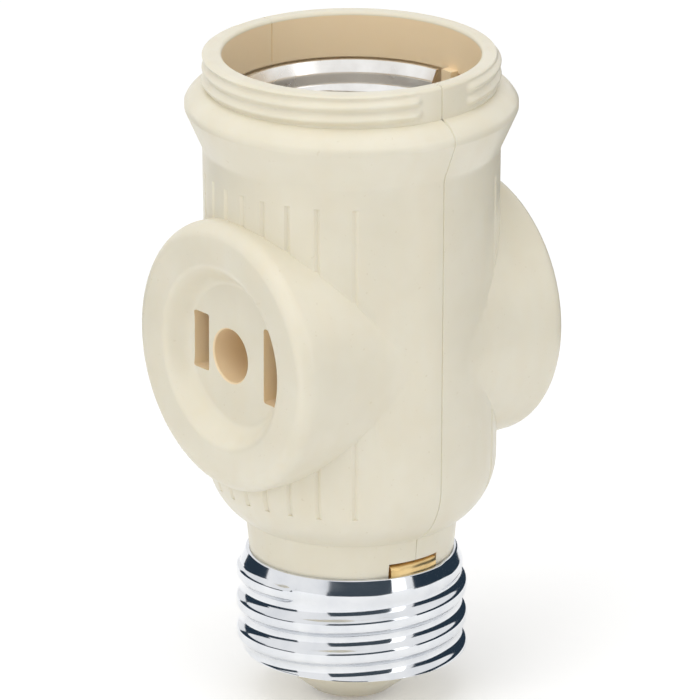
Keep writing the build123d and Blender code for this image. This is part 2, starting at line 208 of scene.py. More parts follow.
def ring_thread(radius, height, angle):
    """The collar's radius at this height and angle, with its thread."""
    if height < collar_low_z or radius < collar_r - edge_r:
        return radius
    from_seam = abs(asin(sin(angle - ring_flat_middle)))
    phase = (height - ring_first_z) / ring_pitch - angle / tau
    ridge = 0.5 + 0.5 * cos(tau * phase)
    ends = smooth_to(collar_low_z, collar_low_z + ring_run_in, height)
    ends *= 1 - (1 - ring_lip_share) * smooth_to(rim_z - edge_r, rim_z, height)
    run_out = smooth_to(ring_flat_half, ring_flat_half + ring_fade, from_seam)
    return radius + ring_thread_depth * ridge * ends * run_out


print("ring thread turns:", round((rim_z - collar_low_z) / ring_pitch, 1))

# %% [markdown]
# The outline below is half the silhouette of the housing without its outlets: tip, spigot, neck, round
# shoulder, drafted barrel, flange, collar and rim. Real mould edges are never sharp, so corners get rounds.

# %% Outline of the housing
shoulder_in = barrel_low_r - neck_top_r
shoulder_r = (shoulder_in**2 + (barrel_low_z - neck_top_z) ** 2) / (2 * shoulder_in)


def corner(before, at, after, r):
    """Points that round the corner at an outline point, tangent to both its sides."""
    into = Vector((at[0] - before[0], at[1] - before[1])).normalized()
    out = Vector((after[0] - at[0], after[1] - at[1])).normalized()
    bend = into.angle(out)
    reach = r * sin(bend / 2) / cos(bend / 2)
    start = (at[0] - into.x * reach, at[1] - into.y * reach)
    end = (at[0] + out.x * reach, at[1] + out.y * reach)
    return rounded(start, end, r, hollow=into.cross(out) < 0, step=12)


barrel_line = [(barrel_low_r, barrel_low_z), (barrel_top_r, barrel_top_z)]
flange_foot = (flange_r, flange_low_z)
flange_brow = (flange_r, flange_top_z)
collar_foot = (collar_r, collar_low_z)
crown = rounded(flange_brow, collar_foot, flange_crown_r)
shoulder = rounded((neck_top_r, neck_top_z), barrel_line[0], shoulder_r, step=4)
barrel = list(zip(
    rows(barrel_low_r, barrel_top_r, (barrel_top_r - barrel_low_r) / barrel_steps),
    rows(barrel_low_z, barrel_top_z, (barrel_top_z - barrel_low_z) / barrel_steps),
))
side_outline = [
    *shoulder,
    *barrel[1:-1],
    *corner(barrel_line[0], barrel_line[1], flange_foot, flange_foot_r),
    *corner(barrel_line[1], flange_foot, flange_brow, flange_edge_r),
    *crown[:-1],
]
collar_outline = [(collar_r, z) for z in rows(collar_low_z, rim_z - edge_r, ring_row)]
collar_outline += corner(collar_foot, (collar_r, rim_z), (0, rim_z), edge_r)[1:]
housing_outline = [
    (0, tip_z),
    *corner((0, tip_z), (tip_r, tip_z), (spigot_r, shell_low_z), tip_edge_r),
    (spigot_r - spigot_chamfer, shell_low_z),
    (spigot_r, shell_low_z + spigot_chamfer),
    (spigot_r, shell_top_z),
    *side_outline,
    *collar_outline,
    (0, rim_z),
]
print("outline points:", len(housing_outline))

# %% [markdown]
# Cuts and joins of solids are booleans. The manifold solver is exact and fast on closed meshes.
# Each tool is used up by its cut, so a helper applies the modifier at once and removes the tool.
# Hollows get a painted warm glow for light that comes through the ivory wall, so their cutters carry a
# mark.
# The boolean hands a cutter's marks on to the faces that it leaves.

# %% Helpers that cut and join solids


def combine(piece, tool, operation="DIFFERENCE"):
    """Cut the tool out of the piece, or join it on, and remove the tool."""
    change = piece.modifiers.new("combine", "BOOLEAN")
    change.object = tool
    change.operation = operation
    change.solver = "MANIFOLD"
    depsgraph = bpy.context.evaluated_depsgraph_get()
    shaped = bpy.data.meshes.new_from_object(piece.evaluated_get(depsgraph))
    piece.modifiers.clear()
    piece.data = shaped
    bpy.data.objects.remove(tool)
    return piece


def mark_painted_glow(tool, top=None):
    """Mark a cutter, so that the faces it leaves get the painted warm glow of a hollow, up to a height if
    given.
    """
    marks = tool.data.attributes.new("hollow", "FLOAT", "FACE")
    for face in tool.data.polygons:
        marks.data[face.index].value = 1 if top is None or face.center.z < top else 0
    return tool


def prism(name, corners, low, high, axis="Y"):
    """A straight solid: an outline of corners in the plane across the axis, drawn out from low to high."""
    points = [(a, c, b) if axis == "Y" else (a, b, c) for c in (low, high) for a, b in corners]
    count = len(corners)
    faces = [list(range(count)), list(range(count, 2 * count))]
    faces += [[i, (i + 1) % count, (i + 1) % count + count, i + count] for i in range(count)]
    return new_piece(name, points, faces)


def block(name, low, high):
    """A box between two corners."""
    corners = [(low[0], low[1]), (high[0], low[1]), (high[0], high[1]), (low[0], high[1])]
    return prism(name, corners, low[2], high[2], axis="Z")


def along_y(piece, side, height, across=0):
    """Lay a turned piece on its side, so that its axis runs out to one outlet at this height."""
    turned = Matrix.Rotation(-side * pi / 2, 4, "X")
    piece.data.transform(Matrix.Translation((across, 0, height)) @ turned)
    return piece


def score(name, path, azimuth, half_width, depth):
    """A closed V-shaped cutter that follows an outline path at one azimuth."""
    raised = 0.3 * mm
    spread = half_width * (1 + raised / depth)
    across = Vector((-sin(azimuth), cos(azimuth), 0))
    points = []
    for i, (radius, height) in enumerate(path):
        before = path[max(0, i - 1)]
        after = path[min(len(path) - 1, i + 1)]
        run = Vector((after[0] - before[0], after[1] - before[1])).normalized()
        outward = (run.y, -run.x)
        for lift, offset in ((-depth, 0), (raised, -spread), (raised, spread)):
            r = radius + outward[0] * lift
            point = Vector((r * cos(azimuth), r * sin(azimuth), height + outward[1] * lift))
            points.append(point + across * offset)
    faces = [[0, 1, 2], [len(points) - 3, len(points) - 2, len(points) - 1]]
    for i in range(len(path) - 1):
        base = 3 * i
        for a, b in ((0, 1), (1, 2), (2, 0)):
            faces.append([base + a, base + b, base + 3 + b, base + 3 + a])
    return new_piece(name, points, faces)


housing = turn("housing", housing_outline, ring_thread)
print("housing before its cuts:", len(housing.data.polygons), "faces")

# %% [markdown]
# The front and back of the barrel carry a panel of fine upright V grooves, moulded for looks.
# The mould opens straight out from the outlet, so they are evenly spaced as seen from there.

# %% Upright grooves
groove_pitch = 3.0 * mm
groove_half_width = 0.38 * mm
groove_depth = 0.24 * mm
groove_count = 10
groove_low_z = barrel_low_z - 3.2 * mm
groove_high_z = barrel_top_z - 2.4 * mm
groove_path = [point for point in side_outline if groove_low_z < point[1] < groove_high_z]
slope = (barrel_top_r - barrel_low_r) / (barrel_top_z - barrel_low_z)
groove_path.append((barrel_top_r - slope * (barrel_top_z - groove_high_z), groove_high_z))
for side in (-1, 1):
    for index in range(groove_count):
        across = (index - (groove_count - 1) / 2) * groove_pitch
        azimuth = atan2(side * sqrt(barrel_top_r**2 - across**2), across)
        combine(housing, score("groove", groove_path, azimuth, groove_half_width, groove_depth))
print("grooves on each side:", groove_count)

# %% [markdown]
# Each outlet is a round boss whose side flows into the barrel, with a wide soft edge and a shallow dish.
# The boss is turned about its own axis and joined on, then the dish is turned and cut out of both.

# %% Outlet bosses
boss_edge_r = 1.8 * mm
boss_flow_y = 10 * mm
boss_flow = 0.0131 / mm
boss_foot_y = 2 * mm
boss_row = 1 * mm
boss_shoulder_y = boss_face_y - boss_edge_r
flow_rows = rows(boss_foot_y, boss_flow_y, boss_row)
straight_rows = rows(boss_flow_y + boss_row, boss_shoulder_y - boss_row / 2, boss_row)
boss_outline = [
    (0, 0),
    *[(boss_r + boss_flow * (boss_flow_y - y) ** 2, y) for y in flow_rows],
    *[(boss_r, y) for y in straight_rows],
    *rounded((boss_r, boss_shoulder_y), (boss_r - boss_edge_r, boss_face_y), boss_edge_r),
    (0, boss_face_y),
]

dish_r = 10.9 * mm
dish_floor_r = 7.9 * mm
dish_count = 14
dish_lip = 1.0 * mm
dish_lip_rise = 0.02 * mm
dish_outline = [(0, dish_floor_y)]
for i in range(dish_count + 1):
    share = i / dish_count
    depth = (boss_face_y - dish_floor_y) * (0.5 - 0.5 * cos(pi * share))
    dish_outline.append((dish_floor_r + (dish_r - dish_floor_r) * share, dish_floor_y + depth))
dish_outline += [(dish_r + dish_lip, boss_face_y + dish_lip_rise), (dish_r, boss_face_y + overshoot)]
dish_outline += [(0, boss_face_y + overshoot)]
for side in (-1, 1):
    combine(housing, along_y(turn("boss", boss_outline), side, outlet_z), "UNION")
    combine(housing, along_y(turn("dish", dish_outline), side, outlet_z))
print("outlets stand", round((boss_face_y - barrel_top_r) / mm, 2), "mm out of the barrel")

# %% [markdown]
# Two slots of different height take the blades: the tall one is on the neutral side. Between them a round
# hole leads to the head of the rivet that holds the halves together.

# %% Slots and rivet holes
slot_width = 2.65 * mm
line_slot_height = 6.7 * mm
neutral_slot_height = 8.8 * mm
slot_corner_r = 0.3 * mm
rivet_head_y = 9.0 * mm
rivet_hole_r = 3.1 * mm
shank_hole_r = 1.85 * mm
rivet_x = -1.1 * mm
rivet_z = outlet_z - 0.5 * mm


def slot_cutter(x, height):
    """A blade slot right through both outlets, with small rounds in its corners."""
    a, b = slot_width / 2, height / 2
    r = slot_corner_r
    corners = []
    for sx, sz, first in ((1, 1, 0), (-1, 1, 90), (-1, -1, 180), (1, -1, 270)):
        for turned in (0, 30, 60, 90):
            angle = radians(first + turned)
            corners.append((x + sx * (a - r) + r * cos(angle), outlet_z + sz * (b - r) + r * sin(angle)))
    return prism("slot", corners, -boss_face_y - overshoot, boss_face_y + overshoot)


combine(housing, mark_painted_glow(slot_cutter(-blade_x, line_slot_height)))
combine(housing, mark_painted_glow(slot_cutter(blade_x, neutral_slot_height)))
lead_in = 0.15 * mm
for side in (-1, 1):
    hole = [
        (0, 0),
        (shank_hole_r, 0),
        (shank_hole_r, rivet_head_y),
        (rivet_hole_r, rivet_head_y),
        (rivet_hole_r, dish_floor_y - lead_in),
        (rivet_hole_r + lead_in, dish_floor_y),
        (rivet_hole_r + lead_in, boss_face_y),
        (0, boss_face_y),
    ]
    combine(housing, mark_painted_glow(along_y(turn("rivet_hole", hole, steps=120), side, rivet_z, rivet_x)))
print("slots", round(2 * blade_x / mm, 2), "mm apart")

# %% [markdown]
# Inside are the lamp socket with its wider entry, one pocket on each side for the blade clips, and channels
# for the strips. They are seen through the slots and past the lamp shell, so they are cut as the real ones.

# %% Hollows
pocket_low_z = outlet_z - 9.2 * mm
pocket_high_z = outlet_z + 4.9 * mm
pocket_x = (4.65 * mm, 8.9 * mm)
pocket_end_y = dish_floor_y - 2.5 * mm
strip_x = 7.75 * mm
strip_half_width = 3.4 * mm
channel_half = 0.65 * mm
relief_r = 15.2 * mm
relief_low_z = lamp_top_z - 4.2 * mm
relief_top_z = lamp_top_z - 0.3 * mm
relief_slant = 0.5 * mm
entry_clear_r = entry_r + 0.6 * mm
socket_outline = [
    (0, floor_z),
    (socket_r, floor_z),
    (socket_r, relief_low_z),
    (relief_r, relief_low_z + relief_slant),
    (relief_r, relief_top_z),
    (entry_r, relief_top_z),
    *corner((entry_r, relief_top_z), (entry_r, rim_z), (flange_r, rim_z), edge_r),
    (entry_clear_r, rim_z + sliver),
    (entry_clear_r, rim_z + overshoot),
    (0, rim_z + overshoot),
]
combine(housing, mark_painted_glow(turn("socket_hollow", socket_outline), top=rim_z - edge_r))
key_half_width = 0.85 * mm
key_height = 2.4 * mm
key_root = 0.3 * mm
channel_drop = 1.5 * mm
for side in (-1, 1):
    near, far = sorted((side * lamp_shell_r, side * (relief_r + key_root)))
    key = block("key", (-key_half_width, near, lamp_top_z - key_height), (key_half_width, far, lamp_top_z))
    combine(housing, mark_painted_glow(key), "UNION")
    near, far = sorted((side * pocket_x[0], side * pocket_x[1]))
    pocket = block("pocket", (near, -pocket_end_y, pocket_low_z), (far, pocket_end_y, pocket_high_z))
    combine(housing, mark_painted_glow(pocket))
    near, far = sorted((side * (strip_x - channel_half), side * (strip_x + channel_half)))
    foot = neck_top_z if side > 0 else barrel_low_z
    low = (near, -strip_half_width, foot - channel_drop)
    channel = block("channel", low, (far, strip_half_width, floor_z + sliver))
    combine(housing, mark_painted_glow(channel))
recess_low_z = shell_top_z - 3.0 * mm
recess_high_z = shell_top_z + 1.5 * mm
recess_low = (strip_x, -strip_half_width, recess_low_z)
recess = block("tab_recess", recess_low, (2 * spigot_r, strip_half_width, recess_high_z))
tab_floor_r = 11.3 * mm
bridge_floor_z = shell_top_z + 0.35 * mm
tab_core = [(0, 0), (tab_floor_r, 0), (tab_floor_r, bridge_floor_z), (0, bridge_floor_z)]
combine(housing, mark_painted_glow(combine(recess, turn("tab_core", tab_core))))
print("housing with hollows:", len(housing.data.polygons), "faces")

# %% [markdown]
# The halves meet on the plane through the lamp axis, across the outlets. Where two moulded edges meet,
# each has a tiny round, so the joint reads as a fine dark line. A V cutter follows the outline for it.

# %% Parting line and halves
parting_half_width = 0.1 * mm
parting_depth = 0.16 * mm
parting_low_z = shell_top_z - 2 * mm
parting_end_z = lamp_top_z + 0.1 * mm
outer_path = [(spigot_r, parting_low_z), *side_outline, *collar_outline[:-1]]
inner_path = [(entry_r, rim_z - edge_r), (entry_r, parting_end_z)]
rim_path = [(collar_r - edge_r, rim_z), (entry_r + edge_r, rim_z)]
for azimuth in (0, pi):
    for path in (outer_path, rim_path):
        combine(housing, score("parting", path, azimuth, parting_half_width, parting_depth))
    combine(housing, mark_painted_glow(score("parting", inner_path, azimuth, parting_half_width, parting_depth)))
parting_gap = 0.01 * mm
halves = []
for name, side in (("body_half_front", -1), ("body_half_rear", 1)):
    half = housing.copy()
    half.data = housing.data.copy()
    half.name = name + "_moulded"
    bpy.context.scene.collection.objects.link(half)
    low_y, high_y = sorted((side * parting_gap, side * 2 * boss_face_y))
    keep = block("keep", (-2 * flange_r, low_y, -overshoot), (2 * flange_r, high_y, rim_z + overshoot))
    combine(half, keep, "INTERSECT")
    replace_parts(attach(half, "root"), name)
    halves.append(half)
    print(half.name, len(half.data.polygons), "faces")
bpy.data.objects.remove(housing)

# %% [markdown]
# The base shell is rolled from thin nickel-plated brass. Its knuckle thread has narrow flat crests with
# round shoulders, short straight flanks and wide round roots. These curves decide what each band of the
# shell mirrors, so the profile is worked out from its radii. The ridge ends short under the plain rim,
# and the rim swells a little and then necks in to grip the housing.

# %% Base screw shell
thread_pitch = 3.629 * mm
thread_depth = 0.8 * mm
thread_flank = radians(50)
shoulder_bend_r = 0.55 * mm
root_bend_r = 1.25 * mm
bend_drop = (shoulder_bend_r + root_bend_r) * (1 - cos(thread_flank))
flank_length = (thread_depth - bend_drop) / sin(thread_flank)
bend_run = (shoulder_bend_r + root_bend_r) * sin(thread_flank)
crest_half = thread_pitch / 2 - bend_run - flank_length * cos(thread_flank)
shell_sheet = 0.35 * mm
thread_start_z = shell_low_z - 0.35 * mm
ridge_end_turn = 2.79
ridge_end_length = 0.035
rim_foot_z = shell_top_z - 3.4 * mm
rim_swell_z = shell_top_z - 1.9 * mm
rim_swell = 0.35 * mm
rim_neck_in = 0.68 * mm
rim_neck_at_tab = 0.42 * mm
rim_neck_ease = 0.35
tab_half_angle = radians(17)
tab_fade_angle = radians(10)


def knuckle(phase):
    """Height of a rolled thread over its root, by the share of a turn from its crest."""
    away = abs(phase - round(phase)) * thread_pitch
    from_root = thread_pitch / 2 - away
    if away < crest_half:
        return thread_depth
    if away < crest_half + shoulder_bend_r * sin(thread_flank):
        return thread_depth - shoulder_bend_r + sqrt(shoulder_bend_r**2 - (away - crest_half) ** 2)
    if from_root < root_bend_r * sin(thread_flank):
        return root_bend_r - sqrt(root_bend_r**2 - from_root**2)
    flank_foot = root_bend_r * (1 - cos(thread_flank))
    up_flank = from_root - root_bend_r * sin(thread_flank)
    return flank_foot + up_flank * sin(thread_flank) / cos(thread_flank)


def ease_in(start, stop, ease, value):
    """0 up to start, then a slope that bends in over a share of the way and stays straight to 1 at stop."""
    share = min(1, max(0, (value - start) / (stop - start)))
    bent = share**2 / (2 * ease) if share < ease else share - ease / 2
    return bent / (1 - ease / 2)


def base_thread(radius, height, angle):
    """The base shell's radius at this height and angle: thread, end of its ridge and necked rim."""
    phase = (height - thread_start_z) / thread_pitch - angle / tau
    turns = round(phase) + angle / tau
    ridge = knuckle(phase) * (1 - smooth_to(ridge_end_turn, ridge_end_turn + ridge_end_length, turns))
    from_tab = abs(atan2(sin(angle), cos(angle)))
    over_tab = 1 - smooth_to(tab_half_angle, tab_half_angle + tab_fade_angle, from_tab)
    neck_in = rim_neck_in + (rim_neck_at_tab - rim_neck_in) * over_tab
    swell = rim_swell * smooth_to(rim_foot_z, rim_swell_z, height)
    neck = neck_in * ease_in(rim_swell_z, shell_top_z, rim_neck_ease, height)
    ridge *= 1 - ease_in(rim_swell_z, shell_top_z, 1, height)
    return radius - thread_depth + max(ridge, swell) - neck


edge_bevel = 0.08 * mm
outer_row = 0.1 * mm
inner_row = 0.25 * mm
outer_rows = rows(shell_low_z + edge_bevel, shell_top_z - edge_bevel, outer_row)
inner_rows = rows(shell_low_z, shell_top_z, inner_row)
base_outline = [
    *[(base_crest_r, z) for z in outer_rows],
    (base_crest_r - edge_bevel, shell_top_z),
    *[(base_crest_r - shell_sheet, z) for z in reversed(inner_rows)],
    (base_crest_r - edge_bevel, shell_low_z),
]
base_shell = turn("base_screw_shell_rolled", base_outline, base_thread)
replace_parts(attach(base_shell, "root"), "base_screw_shell")
print("base shell:", len(base_shell.data.polygons), "faces")

# %% [markdown]
# The lamp shell is drawn and rolled from aluminium: a floor flange, a knuckle thread inside, and a plain
# band at its mouth with a notch that fits over the housing's key at the front and at the back.

# %% Lamp screw shell
lamp_crest_r = 13.2 * mm
lamp_flange_bore_r = 9.2 * mm
lamp_band = 2.6 * mm
lamp_mouth_z = lamp_top_z - 0.4 * mm
lamp_run_in = (floor_z + 0.8 * mm, floor_z + 1.8 * mm)
lamp_run_out = (lamp_mouth_z - lamp_band - 0.9 * mm, lamp_mouth_z - lamp_band)
lamp_flare = 0.6 * mm
lamp_flare_height = 1.4 * mm
key_clearance = 1.1 * mm
notch_half_width = key_half_width + key_clearance
notch_depth = key_height + key_clearance


def lamp_thread(radius, height, angle):
    """The lamp shell's radius at this height and angle, pressed in between the turns of its thread."""
    if radius < lamp_crest_r - sliver:
        return radius
    phase = (height - floor_z) / thread_pitch - angle / tau
    rolled = smooth_to(*lamp_run_in, height) * (1 - smooth_to(*lamp_run_out, height))
    flare = lamp_flare * min(1, max(0, 1 - (lamp_mouth_z - height) / lamp_flare_height))
    return radius - (thread_depth - knuckle(phase)) * rolled + flare


lamp_row = 0.2 * mm
lamp_foot_in = 0.5 * mm
lamp_steps = 240
lamp_rows = rows(floor_z + shell_sheet, lamp_mouth_z, lamp_row)
lamp_outline = [
    (lamp_flange_bore_r, floor_z),
    (lamp_shell_r - lamp_foot_in, floor_z),
    *[(lamp_shell_r, z) for z in lamp_rows],
    *[(lamp_crest_r, z) for z in reversed(lamp_rows)],
    (lamp_crest_r - lamp_foot_in, floor_z + shell_sheet),
    (lamp_flange_bore_r, floor_z + shell_sheet),
]
lamp_shell = turn("lamp_screw_shell_rolled", lamp_outline, lamp_thread, steps=lamp_steps)
notch_low = (-notch_half_width, -2 * lamp_shell_r, lamp_top_z - notch_depth)
notch_high = (notch_half_width, 2 * lamp_shell_r, lamp_top_z + overshoot)
combine(lamp_shell, block("notch", notch_low, notch_high))
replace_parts(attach(lamp_shell, "root"), "lamp_screw_shell")
print("lamp shell:", len(lamp_shell.data.polygons), "faces")

# %% [markdown]
# One strip of brass joins the neutral side. It folds out over the neck into a tab that the base shell
# grips, so the tab's round fold is seen above the rim. The fold leaves the sheet very slightly wavy.

# %% Neutral strip with its folded tab
strip_sheet = 0.5 * mm
strip_width = 6.4 * mm
strip_bend_r = 1.0 * mm
fold_r = 0.45 * mm
tab_sheet = 0.4 * mm
tab_r = 11.6 * mm
tab_low_z = shell_top_z - 2.6 * mm
tab_top_z = shell_top_z + 1.0 * mm
wave_height = 0.02 * mm
wave_length = 2.6 * mm
wave_slant = 0.6
sheet_step = 0.4 * mm
sheet_row = 0.2 * mm
rise_length = 2 * mm
rise_gap = 0.1 * mm
drill_steps = 48
strip_end_x = socket_r - 1.4 * mm
lamp_rivet_x = 11.2 * mm
arm_z = outlet_z - 6.4 * mm
arm_half = (8.8 * mm, 2.4 * mm)
clip_rivet_y = 6.0 * mm
small_rivet_hole_r = 0.83 * mm


def bend(path, r):
    """A path whose corners are rounded to one radius, with extra points along its straight runs."""
    bent = [path[0]]
    for before, at, after in zip(path, path[1:], path[2:]):
        bent += corner(before, at, after, r)
    bent.append(path[-1])
    fine = []
    for start, end in zip(bent, bent[1:]):
        count = max(1, round(hypot(end[0] - start[0], end[1] - start[1]) / sheet_step))
        fine += [tuple(a + (b - a) * i / count for a, b in zip(start, end)) for i in range(count)]
    return fine + [bent[-1]]


def tab_wave(x, y, z):
    """How far the tab stands out at a point: it follows the round neck, and waves a little."""
    share = smooth_to(strip_x + 1 * mm, tab_r - tab_sheet, x)
    follow = sqrt(tab_r**2 - y**2) - tab_r
    free = smooth_to(shell_top_z - 0.3 * mm, shell_top_z + 0.4 * mm, z)
    turns = (y - wave_slant * (z - tab_low_z)) / wave_length
    return share * (follow + free * wave_height * sin(tau * turns))


def formed_sheet(name, path, width, sheet, shift):
    """A sheet that follows a path of (x, z) points, moved outward at each point by a function."""
    across = rows(-width / 2, width / 2, sheet_row)
    count = len(across)
    points = []
    for i, (x, z) in enumerate(path):
        before = path[max(0, i - 1)]
        after = path[min(len(path) - 1, i + 1)]
        run = Vector((after[0] - before[0], after[1] - before[1])).normalized() * sheet / 2
        for side in (-1, 1):
            points += [(x + side * run.y + shift(x, y, z), y, z - side * run.x) for y in across]
    faces = []
    for i in range(len(path) - 1):
        here, there = 2 * count * i, 2 * count * (i + 1)
        for j in range(count - 1):
            for layer in (0, count):
                a = layer + j
                faces.append([here + a, here + a + 1, there + a + 1, there + a])
        for j in (0, count - 1):
            faces.append([here + j, here + count + j, there + count + j, there + j])
    for end in (0, 2 * count * (len(path) - 1)):
        for j in range(count - 1):
            faces.append([end + j, end + j + 1, end + count + j + 1, end + count + j])
    return new_piece(name, points, faces)


strip_top_z = floor_z - strip_sheet / 2
fold_end = (strip_x, tab_top_z + rise_length)
rise_start = (strip_x, tab_top_z + rise_length + rise_gap)
fold = bend([(tab_r, tab_low_z), (tab_r, tab_top_z), (strip_x, tab_top_z), fold_end], fold_r)
rise = bend([rise_start, (strip_x, strip_top_z), (strip_end_x, strip_top_z)], strip_bend_r)
neutral_strip = formed_sheet("neutral_strip_bent", fold + rise, strip_width, strip_sheet, tab_wave)
arm_low = (strip_x - strip_sheet / 2, -arm_half[0], arm_z - arm_half[1])
arm_high = (strip_x + strip_sheet / 2, arm_half[0], arm_z + arm_half[1])
combine(neutral_strip, block("arm", arm_low, arm_high), "UNION")


def drill(low, high):
    """An upright round cutter for the hole of a small rivet."""
    outline = [(0, low), (small_rivet_hole_r, low), (small_rivet_hole_r, high), (0, high)]
    return turn("drill", outline, steps=drill_steps)


for y in (-clip_rivet_y, clip_rivet_y):
    side_drill = drill(0, 2 * strip_x)
    side_drill.data.transform(Matrix.Translation((0, y, arm_z)) @ Matrix.Rotation(pi / 2, 4, "Y"))
    combine(neutral_strip, side_drill)
top_drill = drill(strip_top_z - overshoot, strip_top_z + overshoot)
top_drill.data.transform(Matrix.Translation((lamp_rivet_x, 0, 0)))
combine(neutral_strip, top_drill)
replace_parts(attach(neutral_strip, "root"), "neutral_strip")
print("neutral strip:", len(neutral_strip.data.polygons), "faces")

# %% [markdown]
# Flat faces and turned faces should shade smooth, but a real edge should stay crisp. Each face is set to
# smooth, and edges that bend more than a set angle are marked sharp.

# %% Smooth shading


def shade_smooth(piece, sharp_angle=32):
    """Shade a piece smooth, apart from edges that bend more than the angle in degrees."""
    piece.data.shade_smooth()
    piece.data.set_sharp_from_angle(angle=radians(sharp_angle))


for half in halves:
    shade_smooth(half)
for piece in (base_shell, lamp_shell, neutral_strip):
    shade_smooth(piece, 50)
print("shaded smooth:", [piece.name for piece in (*halves, base_shell, lamp_shell, neutral_strip)])

# %% [markdown]
# A material here is a small graph of nodes. One helper adds a node with its settings and links, and one
# turns the colours that people read, sRGB hex, into the linear values that light is worked out in.

# %% Helpers for materials


def colour(hex_code):
    """The linear colour of an sRGB hex code."""
    values = [int(hex_code[i:i + 2], 16) / 255 for i in (1, 3, 5)]
    return [v / 12.92 if v <= 0.04045 else ((v + 0.055) / 1.055) ** 2.4 for v in values] + [1]


def add(tree, kind, settings=None, **links):
    """Add a node, set its properties, and set or link its inputs by name (an underscore is a space)."""
    node = tree.nodes.new("ShaderNode" + kind)
    for name, value in (settings or {}).items():
        setattr(node, name, value)
    for name, value in links.items():
        socket = node.inputs[int(name[1:]) if name[1:].isdigit() else name.replace("_", " ")]
        if isinstance(value, bpy.types.NodeSocket):
            tree.links.new(value, socket)
        else:
            socket.default_value = value
    return node


def new_material(name):
    """A material with an empty graph, and its surface output."""
    material = bpy.data.materials.new(name)
    material.use_nodes = True
    tree = material.node_tree
    tree.nodes.clear()
    return material, tree, tree.nodes.new("ShaderNodeOutputMaterial")


print("white is", [round(v, 3) for v in colour("#FFFFFF")])

# %% [markdown]
# The housing is urea, a hard moulded resin filled with paper pulp and coloured ivory all through. It leaves
# a polished mould with a soft gloss. Up close the filler gives faint clouds and specks, the mould gives
# slow waves, and handling gives patches that are a little duller. Hollows get a painted warm glow.
# Real specks and grain are finer than these, which are drawn as coarse as they need to be to show.

# %% Ivory moulded urea


def mapped_noise(tree, position, size_mm, detail=2.0, stretch=(1, 1, 1)):
    """Noise whose features are about this many millimetres across."""
    scaled = add(tree, "Mapping", Vector=position, Scale=[1000 / size_mm * part for part in stretch])
    return add(tree, "TexNoise", Vector=scaled.outputs["Vector"], Scale=1.0, Detail=detail, Roughness=0.55)


def blend_colour(tree, share, first, second):
    """Mix two colours by a share."""
    mixed = add(tree, "Mix", {"data_type": "RGBA"}, _0=share, _6=first, _7=second)
    return mixed.outputs[2]


def stretch_range(tree, value, low, high, new_low, new_high):
    """Turn a value between low and high into one between new_low and new_high."""
    ranged = add(
        tree, "MapRange",
        Value=value, From_Min=low, From_Max=high, To_Min=new_low, To_Max=new_high,
    )
    return ranged.outputs["Result"]


def ivory_moulded_urea():
    """Ivory urea with a soft gloss, faint clouds and specks, slow waves and a painted warm glow in the
    hollows.
    """
    material, tree, surface = new_material("ivory_moulded_urea")
    position = add(tree, "TexCoord").outputs["Object"]
    clouds = mapped_noise(tree, position, 9, detail=3).outputs["Fac"]
    flow = mapped_noise(tree, position, 3, detail=2, stretch=(1, 1, 0.25)).outputs["Fac"]
    specks = mapped_noise(tree, position, 0.5, detail=1).outputs["Fac"]
    grain = mapped_noise(tree, position, 0.25, detail=2).outputs["Fac"]
    waves = mapped_noise(tree, position, 6, detail=1).outputs["Fac"]
    cloudy = stretch_range(tree, clouds, 0.35, 0.65, 0, 1)
    skin = blend_colour(tree, cloudy, colour("#ECE6D3"), colour("#E7E0CB"))
    skin = blend_colour(tree, stretch_range(tree, flow, 0.45, 0.7, 0, 0.35), skin, colour("#E9DFC6"))
    skin = blend_colour(tree, stretch_range(tree, specks, 0.72, 0.8, 0, 0.25), skin, colour("#CDBF9C"))
    # Painted glow: faces marked as hollows get a lighter, warmer colour that stands in for light through
    # thin walls.
    painted_glow_colour = blend_colour(tree, clouds, colour("#FBE6C2"), colour("#F5DDB6"))
    hollow = add(tree, "Attribute", {"attribute_name": "hollow"}).outputs["Fac"]
    base = blend_colour(tree, hollow, skin, painted_glow_colour)
    rough = stretch_range(tree, flow, 0.3, 0.7, 0.3, 0.4)
    slow = add(tree, "Bump", Height=waves, Strength=0.12, Distance=0.4 * mm)
    fine = add(tree, "Bump", Height=grain, Strength=0.1, Distance=0.03 * mm, Normal=slow.outputs["Normal"])
    shader = add(
        tree, "BsdfPrincipled",
        Base_Color=base, Roughness=rough, Normal=fine.outputs["Normal"],
        IOR=1.58, Subsurface_Weight=0.15, Subsurface_Radius=[1.0, 0.8, 0.5], Subsurface_Scale=0.8 * mm,
    )
    tree.links.new(shader.outputs["BSDF"], surface.inputs["Surface"])
    return material


ivory = ivory_moulded_urea()
for half in halves:
    half.data.materials.clear()
    half.data.materials.append(ivory)
print("material:", ivory.name)

# %% [markdown]
# The metal pieces differ in base metal and in how they were worked. Nickel plate over rolled brass is
# bright and a little blue, with fine rolling lines round the shell. Drawn aluminium is paler and softer.
# Stamped brass is golden, with dull patches of handling. A metal gets its look from what it mirrors.
# Real working lines are a few hundredths of a millimetre apart, and are drawn coarser so that they show.

# %% Nickel plate, aluminium and brass


